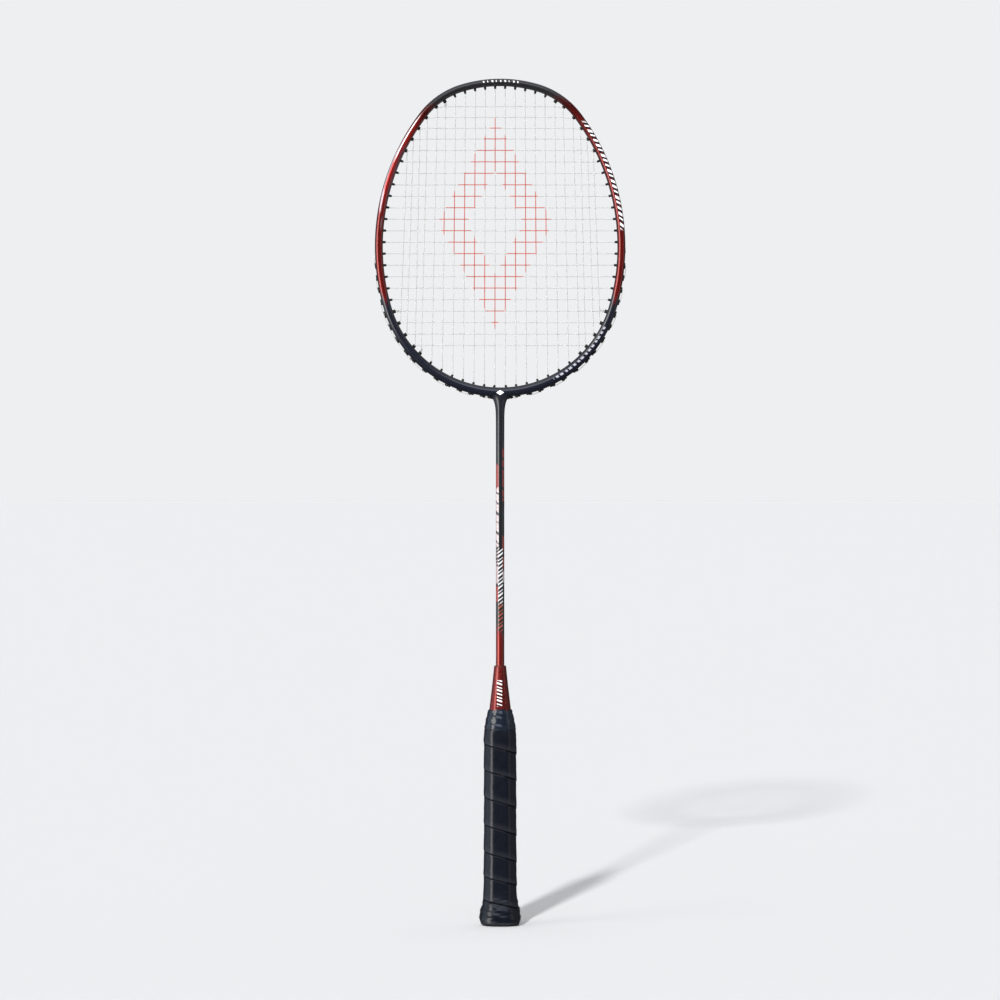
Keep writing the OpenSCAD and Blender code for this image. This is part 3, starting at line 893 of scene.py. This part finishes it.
def group(name, inputs, outputs, build):
    """A shader node group with named sockets, {name: (type, default)}."""
    tree = bpy.data.node_groups.new(name, "ShaderNodeTree")
    for socket, (kind, value) in inputs.items():
        item = tree.interface.new_socket(socket, in_out="INPUT", socket_type=kind)
        if value is not None:
            item.default_value = value
    for socket, kind in outputs.items():
        tree.interface.new_socket(socket, in_out="OUTPUT", socket_type=kind)
    start, end = tree.nodes.new("NodeGroupInput"), tree.nodes.new("NodeGroupOutput")
    for socket, result in build(tree, start.outputs).items():
        tree.links.new(result, end.inputs[socket])
    return tree


def place(shared, **values):
    node = tree_of(*values.values()).nodes.new("ShaderNodeGroup")
    node.node_tree = shared
    for name, value in values.items():
        wire(value, node.inputs[name.replace("_", " ")])
    return node.outputs


FLOAT, COLOUR, VECTOR = "NodeSocketFloat", "NodeSocketColor", "NodeSocketVector"
FLAKE_RED = (0.8, 0.12, 0.08, 1)


def build_flake(tree, given):
    """Metallic lacquer: fine flakes that lighten the colour here and there, and a faint ripple."""
    cells = tree.nodes.new("ShaderNodeTexVoronoi")
    wire(given["Vector"], cells.inputs["Vector"])
    wire(given["Scale"], cells.inputs["Scale"])
    lit = rise(split(cells.outputs["Color"])[0], 0.45, 1.0)
    bright = mix(product(lit, given["Sparkle"]), given["Colour"], given["Flake Colour"])
    ripple = noise(given["Vector"], 180.0, 2.0)
    return {"Colour": bright, "Ripple": ripple}


def build_slashes(tree, given):
    """Leaning bars: 1 on a bar and 0 between bars, along one way and leaning across the other."""
    lean = scaled(given["Across"], given["Lean"], given["Along"])
    row = math("DIVIDE", lean, given["Pitch"])
    wobble = math("SINE", product(math("FLOOR", row), 2.4))
    width = scaled(wobble, 0.12, given["Share"])
    place_in = math("FRACT", row)
    edge = math("SUBTRACT", width, place_in)
    ramp = math("MULTIPLY", edge, 14.0)
    clip = tree.nodes.new("ShaderNodeClamp")
    wire(ramp, clip.inputs["Value"])
    start = rise(place_in, 0.0, 0.07)
    return {"Bars": product(clip.outputs[0], start)}


def build_grain(tree, given):
    """Leather-like grain: small pebbles with finer pores in them."""
    cells = tree.nodes.new("ShaderNodeTexVoronoi")
    wire(given["Vector"], cells.inputs["Vector"])
    wire(given["Scale"], cells.inputs["Scale"])
    fine = noise(given["Vector"], 2600.0, 3.0)
    broad = noise(given["Vector"], 90.0, 3.0)
    height = total(product(cells.outputs["Distance"], 0.7), product(fine, 0.35))
    return {"Height": height, "Tone": broad, "Fine": fine}


flake = group("metal flake", {"Vector": (VECTOR, None), "Scale": (FLOAT, 3000.0), "Sparkle": (FLOAT, 0.2),
                              "Colour": (COLOUR, None), "Flake Colour": (COLOUR, None)},
              {"Colour": COLOUR, "Ripple": FLOAT}, build_flake)
slashes = group("leaning bars", {"Along": (FLOAT, 0.0), "Across": (FLOAT, 0.0), "Pitch": (FLOAT, 0.005),
                                 "Lean": (FLOAT, 0.001), "Share": (FLOAT, 0.5)},
                {"Bars": FLOAT}, build_slashes)
grain = group("fine grain", {"Vector": (VECTOR, None), "Scale": (FLOAT, 1400.0)},
              {"Height": FLOAT, "Tone": FLOAT, "Fine": FLOAT}, build_grain)


def leaning_bars(along, across, pitch, lean, share):
    return place(slashes, Along=along, Across=across, Pitch=pitch, Lean=lean, Share=share)["Bars"]


def flaked(point, sparkle, colour):
    """The flake group's lacquer over a colour."""
    return place(flake, Vector=point, Scale=2600.0, Sparkle=sparkle, Colour=colour, Flake_Colour=FLAKE_RED)


def finish(name, recipe, **constants):
    """A material on one Principled shader. The recipe gives what changes over the surface."""
    material = bpy.data.materials.new(name)
    material.use_nodes = True
    tree = material.node_tree
    shader = tree.nodes["Principled BSDF"]
    for socket, value in constants.items():
        shader.inputs[socket.replace("_", " ")].default_value = value
    for socket, result in recipe(tree).items():
        if socket == "Height":
            source, strength, distance = result
            bump = tree.nodes.new("ShaderNodeBump")
            bump.inputs["Strength"].default_value = strength
            bump.inputs["Distance"].default_value = distance
            wire(source, bump.inputs["Height"])
            tree.links.new(bump.outputs[0], shader.inputs["Normal"])
        else:
            wire(result, shader.inputs[socket])
    material.diffuse_color = (*shader.inputs["Base Color"].default_value[:3], 1)
    return material


# ---------------------------------------------------------------- finishes

BLACK = (0.011, 0.0105, 0.012)
NAVY = (0.0055, 0.0065, 0.012)
RED = (0.185, 0.010, 0.009)
DEEP_RED = (0.060, 0.004, 0.004)
BRIGHT_RED = (0.40, 0.022, 0.018)
CONE_RED = (0.150, 0.009, 0.008)
PALE = (0.82, 0.80, 0.82)
WHITE_MARK = (0.82, 0.82, 0.82)
DIAMOND_Z = 0.4246


def throat_diamond(point):
    """A small diamond on the front, where the hoop meets the neck."""
    x, y, z = split(point)
    height = gap(z, DIAMOND_Z)
    shape = rise(scaled(math("ABSOLUTE", x), 0.62, height), 0.0020, 0.0018)
    return product(shape, rise(y, -0.0008, -0.0016))


def frame_lacquer_recipe(tree):
    point = object_point(tree)
    x, y, z = split(point)
    across = attribute(tree, "across")
    along = attribute(tree, "along")
    front = rise(y, -0.0008, -0.0016)
    left = rise(x, 0.001, -0.001)
    right = rise(x, -0.001, 0.001)
    cloud = noise(point, 60.0, 2.0)
    sway = product(math("SUBTRACT", cloud, 0.5), 0.006)
    height = math("ADD", z, sway)
    edge = math("ABSOLUTE", across)
    low_edge = scaled(edge, -0.012, height)
    high = scaled(left, 0.006, height)
    red = product(rise(high, 0.6630, 0.6520), rise(low_edge, 0.4905, 0.5030))
    full_red = rise(high, 0.6560, 0.6400)
    dark = mix(rise(z, 0.5, 0.6), NAVY, BLACK)
    # painted shade: the red darkens to deep red towards both edges of the tube
    rim = rise(edge, 0.30, 0.85)
    bright = product(left, front, span(z, 0.574, 0.640, 0.010))
    face_red = mix(bright, RED, BRIGHT_RED)
    edge_shaded_red = mix(product(rim, 0.85), face_red, DEEP_RED)
    base = mix(red, dark, mix(full_red, DEEP_RED, edge_shaded_red))
    # painted shade: a near-black line along the outer edge, beside the string groove
    base = mix(rise(across, 0.84, 0.93), base, (0.008, 0.007, 0.008))

    # left: a pale streak, then thin lines that run down the outer edge, and dark swooshes on the inner side
    streak = product(left, front, span(z, 0.612, 0.643, 0.006), span(across, 0.28, 0.56, 0.09))
    line_place = scaled(z, 3.4, -1.32)
    off_line = gap(across, line_place)
    line = product(left, front, rise(off_line, 0.12, 0.05), span(z, 0.575, 0.628, 0.012))
    swoosh_place = scaled(z, 9.0, -5.95)
    off_swoosh = math("SUBTRACT", across, swoosh_place)
    stripes = total(span(off_swoosh, -0.36, -0.12, 0.05), span(off_swoosh, 0.06, 0.24, 0.05))
    swoosh = product(left, front, stripes, span(z, 0.572, 0.622, 0.008))
    low_place = scaled(z, 16.0, -8.75)
    off_low = math("SUBTRACT", across, low_place)
    pale_patch = product(left, front, span(off_low, -0.3, 0.24, 0.08), span(z, 0.569, 0.586, 0.003))
    tail = product(left, front, span(across, -0.46, -0.18, 0.07), span(z, 0.5555, 0.5635, 0.003))
    base = mix(swoosh, base, (0.020, 0.021, 0.034))
    base = mix(product(line, 0.75), base, (0.42, 0.40, 0.46))
    base = mix(product(pale_patch, 0.6), base, (0.50, 0.42, 0.48))
    base = mix(product(tail, 0.5), base, (0.5, 0.44, 0.48))
    base = mix(product(streak, 0.9), base, PALE)

    # right: leaning bars with a dark shadow, on the outer two thirds
    zone = product(right, front, span(z, 0.5545, 0.6405, 0.0015), span(across, -0.12, 0.86, 0.06))
    shadow = leaning_bars(math("ADD", along, 0.0004), across, 0.0044, -0.0026, 0.97)
    bars = leaning_bars(along, across, 0.0044, -0.0026, 0.5)
    base = mix(product(zone, shadow), base, (0.010, 0.007, 0.009))
    base = mix(product(zone, bars), base, PALE)

    # low on the right: grey dashes; at the top: small ticks; at the throat: a small diamond
    dash_zone = product(right, front, span(along, 0.2475, 0.3070, 0.001), span(across, -0.34, 0.14, 0.06))
    dashes = leaning_bars(along, across, 0.0042, 0.0010, 0.62)
    base = mix(product(dash_zone, dashes, 0.7), base, (0.42, 0.43, 0.48))
    tick_zone = product(front, span(along, -0.0150, 0.0150, 0.0004), span(across, 0.02, 0.55, 0.08))
    ticks = leaning_bars(along, across, 0.0034, 0.0004, 0.36)
    base = mix(product(tick_zone, ticks), base, (0.62, 0.62, 0.63))
    base = mix(throat_diamond(point), base, WHITE_MARK)
    printed = math("MAXIMUM", product(zone, math("MAXIMUM", shadow, bars)),
                   math("MAXIMUM", streak, math("MAXIMUM", swoosh, line)))
    plain_red = product(red, math("SUBTRACT", 1.0, printed))
    lacquer = flaked(point, product(plain_red, 0.12), base)
    return {"Base Color": lacquer["Colour"], "Metallic": product(plain_red, 0.75),
            "Roughness": scaled(red, -0.10, 0.34), "Height": (lacquer["Ripple"], 0.06, 0.0002)}


def throat_recipe(tree):
    point = object_point(tree)
    tone = noise(point, 70.0, 3.0)
    base = mix(rise(tone, 0.3, 0.7), (0.0055, 0.0065, 0.011), (0.0085, 0.0095, 0.014))
    base = mix(throat_diamond(point), base, WHITE_MARK)
    return {"Base Color": base, "Height": (noise(point, 180.0, 2.0), 0.06, 0.0002)}


def turn_of(x, y):
    """Angle round the shaft from the front, positive to the right."""
    return math("ARCTAN2", x, math("MULTIPLY", y, -1.0))


def shaft_lacquer_recipe(tree):
    point = object_point(tree)
    x, y, z = split(point)
    turn = turn_of(x, y)
    wander = noise(point, 220.0, 2.0, stretch=(1, 1, 0.3))
    z_rough = scaled(wander, 0.006, z)
    red = rise(scaled(turn, 0.004, z), 0.239, 0.227)
    aside = math("ABSOLUTE", math("ADD", turn, 0.40))
    shaded_red = mix(product(rise(aside, 0.25, 1.05), 0.85), (0.21, 0.011, 0.009), DEEP_RED)
    base = mix(red, (0.0075, 0.0088, 0.0105), shaded_red)
    left = span(turn, -2.3, -0.38, 0.06)
    right = span(turn, 0.56, 2.3, 0.06)
    torn = leaning_bars(z, turn, 0.0078, 0.0022, 0.84)
    short = leaning_bars(z, turn, 0.0028, -0.0011, 0.5)
    red_left = product(left, total(span(z_rough, 0.349, 0.370, 0.001),
                                   span(z_rough, 0.2605, 0.2735, 0.0008)))
    white_left = product(left, span(z_rough, 0.305, 0.352, 0.001), torn)
    grey_left = product(left, total(span(z_rough, 0.276, 0.289, 0.001),
                                    product(span(z_rough, 0.289, 0.312, 0.001), short)))
    red_right = product(right, total(product(span(z_rough, 0.341, 0.384, 0.001), torn),
                                     span(z_rough, 0.302, 0.3135, 0.0008),
                                     span(z_rough, 0.2875, 0.2965, 0.0008)))
    pale_right = product(right, span(z_rough, 0.277, 0.2855, 0.001))
    base = mix(red_left, base, (0.20, 0.028, 0.024))
    base = mix(white_left, base, (0.46, 0.41, 0.42))
    base = mix(product(white_left, short, 0.35), base, (0.34, 0.10, 0.095))
    base = mix(product(grey_left, 0.85), base, (0.36, 0.29, 0.30))
    base = mix(red_right, base, (0.15, 0.019, 0.016))
    base = mix(product(pale_right, 0.8), base, (0.36, 0.29, 0.30))
    zone = product(span(turn, -0.46, 0.70, 0.06), span(z, 0.2345, 0.3005, 0.0006))
    bars = leaning_bars(z, turn, 0.0032, -0.0026, 0.44)
    ink = mix(rise(z, 0.2585, 0.2545), (0.50, 0.51, 0.52), (0.24, 0.065, 0.045))
    base = mix(zone, base, (0.006, 0.006, 0.007))
    base = mix(product(zone, bars), base, ink)
    lacquer = flaked(point, product(red, 0.22), base)
    return {"Base Color": lacquer["Colour"], "Metallic": product(red, 0.7),
            "Roughness": scaled(red, -0.06, 0.34), "Height": (lacquer["Ripple"], 0.05, 0.0002)}


def cone_lacquer_recipe(tree):
    point = object_point(tree)
    x, y, z = split(point)
    turn = turn_of(x, y)
    aside = math("ABSOLUTE", math("ADD", turn, 0.45))
    shaded_red = mix(product(rise(aside, 0.25, 0.95), 0.9), CONE_RED, DEEP_RED)
    base = mix(rise(z, 0.2056, 0.2063), shaded_red, DEEP_RED)
    front = rise(y, -0.001, -0.0016)
    zone = product(front, span(x, -0.0026, 0.0016, 0.0002), span(z, 0.1745, 0.1955, 0.0003))
    bars = leaning_bars(z, x, 0.0027, 0.32, 0.5)
    base = mix(zone, base, (0.05, 0.006, 0.006))
    base = mix(product(zone, bars), base, (0.62, 0.60, 0.60))
    lacquer = flaked(point, 0.25, base)
    dust = noise(point, 300.0, 3.0)
    return {"Base Color": lacquer["Colour"], "Metallic": scaled(product(zone, bars), -0.7, 0.7),
            "Roughness": scaled(dust, 0.1, 0.32), "Height": (lacquer["Ripple"], 0.05, 0.0002)}


def grip_recipe(tree):
    point = object_point(tree)
    lift = attribute(tree, "lift")
    fibre = place(grain, Vector=point, Scale=1500.0)
    tone = mix(fibre["Tone"], (0.0022, 0.0030, 0.0056), (0.0040, 0.0052, 0.0092))
    # painted highlight: lighter on the raised ridge just above each seam
    ridge_highlight = rise(lift, 0.16, 0.3)
    tone = mix(product(ridge_highlight, 0.3), tone, (0.03, 0.03, 0.035))
    # painted shade: near-black in the grooves where the turns of tape meet
    groove = rise(lift, -0.05, -0.45)
    tone = mix(groove, tone, (0.002, 0.002, 0.003))
    rough = total(product(fibre["Tone"], 0.12), product(fibre["Fine"], 0.1), 0.20)
    return {"Base Color": tone, "Roughness": rough, "Height": (fibre["Height"], 0.28, 0.00012)}


def tape_recipe(tree):
    point = object_point(tree)
    fibre = noise(point, 900.0, 3.0, stretch=(1, 1, 2.5))
    tone = mix(noise(point, 120.0, 2.0), (0.004, 0.006, 0.011), (0.008, 0.012, 0.02))
    return {"Base Color": tone, "Roughness": scaled(fibre, 0.14, 0.14), "Height": (fibre, 0.12, 0.0001)}


def moulded_recipe(dark, light):
    def recipe(tree):
        point = object_point(tree)
        fine = noise(point, 1500.0, 3.0)
        tone = mix(noise(point, 160.0, 2.0), dark, light)
        return {"Base Color": tone, "Roughness": scaled(fine, 0.2, 0.35), "Height": (fine, 0.1, 0.00008)}
    return recipe


def string_recipe(tree):
    point = object_point(tree)
    x, _, z = split(point)
    fibre = noise(point, 1800.0, 3.0)
    cx = math("DIVIDE", math("ABSOLUTE", math("ADD", x, 0.0040)), 0.047)
    cz = math("DIVIDE", gap(z, 0.5600), 0.086)
    ring = math("ADD", cx, cz)
    blot = scaled(noise(point, 500.0, 2.0), 0.04, ring)
    ink = span(blot, 0.50, 1.0, 0.008)
    plain = mix(fibre, (0.362, 0.366, 0.357), (0.382, 0.385, 0.376))
    red = mix(fibre, (0.33, 0.065, 0.048), (0.38, 0.080, 0.060))
    return {"Base Color": mix(ink, plain, red), "Roughness": scaled(fibre, 0.2, 0.55),
            "Height": (fibre, 0.05, 0.00004)}


def badge_recipe(tree):
    point = object_point(tree)
    x, y, _ = split(point)
    radius = math("SQRT", total(product(x, x), product(y, y)))
    ring = span(radius, 0.0034, 0.0052, 0.0001)
    base = mix(ring, RED, (0.75, 0.75, 0.76))
    return {"Base Color": base, "Roughness": scaled(noise(point, 700.0), 0.1, 0.22)}


def wood_recipe(tree):
    point = object_point(tree)
    rings = noise(point, 240.0, 4.0, stretch=(1, 1, 0.08))
    tone = mix(rings, (0.42, 0.26, 0.13), (0.68, 0.49, 0.29))
    return {"Base Color": tone, "Roughness": scaled(rings, 0.2, 0.5), "Height": (rings, 0.2, 0.0003)}


def metal_recipe(tree):
    point = object_point(tree)
    marks = noise(point, 900.0, 3.0, stretch=(1, 1, 0.1))
    return {"Base Color": mix(marks, (0.5, 0.5, 0.52), (0.72, 0.72, 0.74)),
            "Roughness": scaled(marks, 0.2, 0.25)}


frame_lacquer = finish("frame lacquer", frame_lacquer_recipe, Coat_Weight=0.8, Coat_Roughness=0.06)
throat_lacquer = finish("throat lacquer", throat_recipe, Roughness=0.36, Coat_Weight=0.7,
                        Coat_Roughness=0.1)
shaft_lacquer = finish("shaft lacquer", shaft_lacquer_recipe, Coat_Weight=0.8, Coat_Roughness=0.06)
cone_lacquer = finish("cone lacquer", cone_lacquer_recipe, Coat_Weight=0.6, Coat_Roughness=0.14)
grip_skin = finish("grip skin", grip_recipe, Specular_IOR_Level=0.5)
tape_film = finish("finishing film", tape_recipe, Coat_Weight=0.35, Coat_Roughness=0.15)
grommet_nylon = finish("grommet nylon", moulded_recipe((0.006, 0.006, 0.006), (0.012, 0.012, 0.012)))
cap_plastic = finish("cap plastic", moulded_recipe((0.010, 0.011, 0.014), (0.018, 0.019, 0.023)))
string_nylon = finish("string nylon", string_recipe, Specular_IOR_Level=0.05, Subsurface_Weight=0.8,
                      Subsurface_Radius=(1.0, 1.0, 1.0), Subsurface_Scale=0.0008)
badge_enamel = finish("badge enamel", badge_recipe, Coat_Weight=0.6, Coat_Roughness=0.05)
core_wood = finish("core wood", wood_recipe)
plain_metal = finish("plain metal", metal_recipe, Metallic=1.0)


# ---------------------------------------------------------------- the racket, put together

mount(make_hoop(), frame_lacquer, "frame_lacquer", "head_frame")
mount(make_throat(), throat_lacquer, "frame_lacquer", "throat_joint")
mount(make_shaft(), shaft_lacquer, "shaft_lacquer", "shaft")
mount(make_cone(), cone_lacquer, "cone_lacquer", "cone")
mount(make_grip(), grip_skin, "grip", "grip_wrap")
mount(make_finishing_tape(), tape_film, "finishing_tape", "grip_finishing_tape")
mount(make_butt_cap(), cap_plastic, "cap_plastic", "butt_cap")
mount(make_badge(), badge_enamel, "badge", "butt_badge")

patterns = {False: make_grommet(False), True: make_grommet(True)}
for node, holes in grommet_groups.items():
    mount(grommets(node + "_moulded", holes, patterns), grommet_nylon, "grommet", node)
deselect_all()
for pattern, _ in patterns.values():
    bpy.data.objects.remove(pattern, do_unlink=True)

mount(string_piece("main_string_woven", [main_path()]), string_nylon, "string", "main_string")
mount(string_piece("cross_string_woven", [cross_path()]), string_nylon, "string", "cross_string")
mount(string_piece("main_string_hitches", main_knots(), KNOT_STRING_R), string_nylon, "string",
      "main_string_knots")
mount(string_piece("cross_string_hitches", cross_knots(), KNOT_STRING_R), string_nylon, "string",
      "cross_string_knots")

for node, material in (("t_joint_insert", plain_metal), ("handle_core_front", core_wood),
                       ("handle_core_back", core_wood), ("butt_staples", plain_metal)):
    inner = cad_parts[node]
    inner.data.materials.clear()
    inner.data.materials.append(material)


# ---------------------------------------------------------------- studio

# The floor reaches the horizon behind, and ends before the dark front of the room
FLOOR_SIZE = 3000
FLOOR_IN_FRONT = 0.62


def floor_recipe(tree):
    tone = noise(object_point(tree), 2.0, 1.0)
    return {"Base Color": mix(tone, (0.659, 0.659, 0.666), (0.660, 0.660, 0.667))}


deselect_all()
bpy.ops.mesh.primitive_plane_add(size=FLOOR_SIZE, location=(0, FLOOR_SIZE / 2 - FLOOR_IN_FRONT, -0.0002))
floor = named("studio_floor")
apply_transform(floor)
floor.data.materials.append(finish("studio floor", floor_recipe, Roughness=0.9, Specular_IOR_Level=0.0))
floor.visible_glossy = False


def far_light(name, energy, spread, direction):
    """Light from far away that lays no highlight of its own on the lacquer."""
    light = bpy.data.lights.new(name, "SUN")
    light.energy, light.angle = energy, radians(spread)
    lamp = add_object(name, light)
    lamp.visible_glossy = False
    lamp.rotation_euler = Vector(direction).to_track_quat("-Z", "Y").to_euler()


far_light("key", 5.3, 2.8, (0.19, 1.0, -0.37))
far_light("back fill", 1.2, 120, (0.0, -1.0, -0.5))

# Seen directly the world is an even pale backdrop. In reflections and as light it is a dark room with a
# ceiling light, a tall bright softbox at the front left, a dimmer one at the front right, and side walls.
world = bpy.data.worlds.new("studio")
bpy.context.scene.world = world
world.use_nodes = True
sky = world.node_tree
backdrop = sky.nodes["Background"]
backdrop.inputs["Color"].default_value = (0.855, 0.863, 0.880, 1)
surround = sky.nodes.new("ShaderNodeBackground")
facing = split(sky.nodes.new("ShaderNodeTexCoord").outputs["Generated"])
azimuth = math("ARCTAN2", facing[0], math("MULTIPLY", facing[1], -1.0))
room = mix(rise(facing[1], 0.2, 0.7), (0.030, 0.032, 0.038), (0.10, 0.10, 0.11))
for start, end, low, high, light in (
        (-1.9, -1.35, -0.5, 0.6, (0.60, 0.72, 0.84)), (1.32, 2.0, -0.5, 0.6, (0.16, 0.16, 0.15)),
        (-0.5, 0.35, 0.42, 0.8, (1.7, 1.85, 2.1)),
        (-1.18, -0.62, -0.3, 0.6, (4.3, 4.2, 4.0)), (0.95, 1.25, -0.3, 0.6, (0.7, 0.68, 0.64))):
    box = product(span(azimuth, start, end, 0.08), span(facing[2], low, high, 0.08))
    room = mix(box, room, light)
room = mix(rise(facing[2], 0.70, 0.84), room, (0.55, 0.55, 0.56))
wire(room, surround.inputs["Color"])
choose = sky.nodes.new("ShaderNodeMixShader")
sky.links.new(sky.nodes.new("ShaderNodeLightPath").outputs["Is Camera Ray"], choose.inputs[0])
sky.links.new(surround.outputs[0], choose.inputs[1])
sky.links.new(backdrop.outputs[0], choose.inputs[2])
sky.links.new(choose.outputs[0], sky.nodes["World Output"].inputs["Surface"])

CAMERA_DISTANCE, CAMERA_HEIGHT = 3.6, 0.3390
lens = bpy.data.cameras.new("camera")
lens.sensor_width, lens.lens = 36, 162.5
lens.clip_end = 2500
camera = add_object("camera", lens)
camera.location = (-0.0001, -CAMERA_DISTANCE, CAMERA_HEIGHT)
camera.rotation_euler = (radians(90), 0, 0)
bpy.context.scene.camera = camera
bpy.context.scene.view_settings.view_transform = "Standard"
